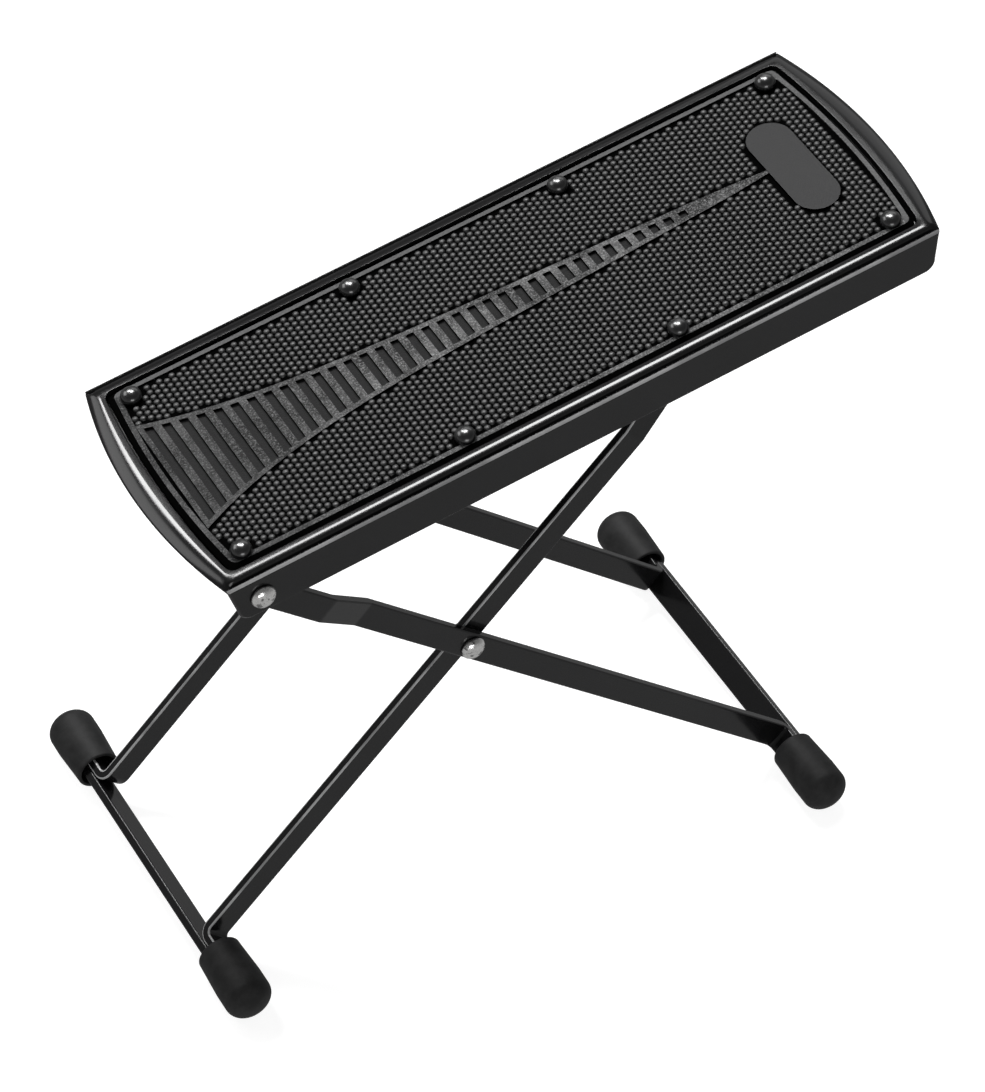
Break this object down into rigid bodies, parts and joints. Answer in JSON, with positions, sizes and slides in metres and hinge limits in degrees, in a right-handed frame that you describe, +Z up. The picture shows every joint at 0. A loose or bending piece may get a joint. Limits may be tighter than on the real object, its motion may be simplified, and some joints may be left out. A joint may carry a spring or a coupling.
{
  "type": "guitar footrest",
  "caption": "Folding guitar footrest: a sloping rubber-topped foot plate on crossed riveted legs with rubber feet and a notched rack that sets its height.",
  "frame": {"origin": "on the floor, under the centre of the open footrest's bounding box", "axes": "+Z up, +X along the floor from the plate's pivoted low end to its raised end, +Y across to the back"},
  "size_m": [0.2544, 0.1456, 0.2333],
  "materials": {
    "powder_coated_steel": "satin black powder coat",
    "mat_rubber": "moulded, fine-textured, matt black",
    "foot_rubber": "smooth, half-matt black",
    "gloss_black_steel": "gloss black",
    "nickel_plated_steel": "bright nickel plating",
    "black_nylon": "plain black nylon"
  },
  "bodies": {
    "foot_plate": {"foot_plate": "powder_coated_steel", "rubber_mat": "mat_rubber", "mat_rivet_1": "gloss_black_steel", "mat_rivet_2": "gloss_black_steel", "mat_rivet_3": "gloss_black_steel", "mat_rivet_4": "gloss_black_steel", "mat_rivet_5": "gloss_black_steel", "mat_rivet_6": "gloss_black_steel", "mat_rivet_7": "gloss_black_steel", "mat_rivet_8": "gloss_black_steel", "rack_rail_front": "powder_coated_steel", "rack_rail_back": "powder_coated_steel", "pivot_rivet_front": "nickel_plated_steel", "pivot_rivet_back": "nickel_plated_steel", "pivot_washer_front": "black_nylon", "pivot_washer_back": "black_nylon"},
    "outer_legs": {"outer_leg_front": "powder_coated_steel", "outer_leg_back": "powder_coated_steel", "outer_floor_bar": "powder_coated_steel", "outer_foot_front": "foot_rubber", "outer_foot_back": "foot_rubber", "scissor_rivet_front": "nickel_plated_steel", "scissor_rivet_back": "nickel_plated_steel", "scissor_washer_front": "black_nylon", "scissor_washer_back": "black_nylon"},
    "inner_legs": {"inner_leg_front": "powder_coated_steel", "inner_leg_back": "powder_coated_steel", "inner_floor_bar": "powder_coated_steel", "inner_foot_front": "foot_rubber", "inner_foot_back": "foot_rubber", "inner_top_rod": "powder_coated_steel"}
  },
  "joints": [
    {"name": "outer_legs_fold", "type": "hinge", "parent": "foot_plate", "child": "outer_legs", "pos_m": [-0.10875, 0, 0.17201], "axis": [0, -1, 0], "range_deg": [0, 49.63]},
    {"name": "inner_legs_fold", "type": "hinge", "parent": "outer_legs", "child": "inner_legs", "pos_m": [-0.02928, 0, 0.10984], "axis": [0, 1, 0], "range_deg": [0, 86.88]}
  ],
  "couplings": [
    {"joint": "inner_legs_fold", "follows": "outer_legs_fold", "ratio": 1.7502}
  ]
}
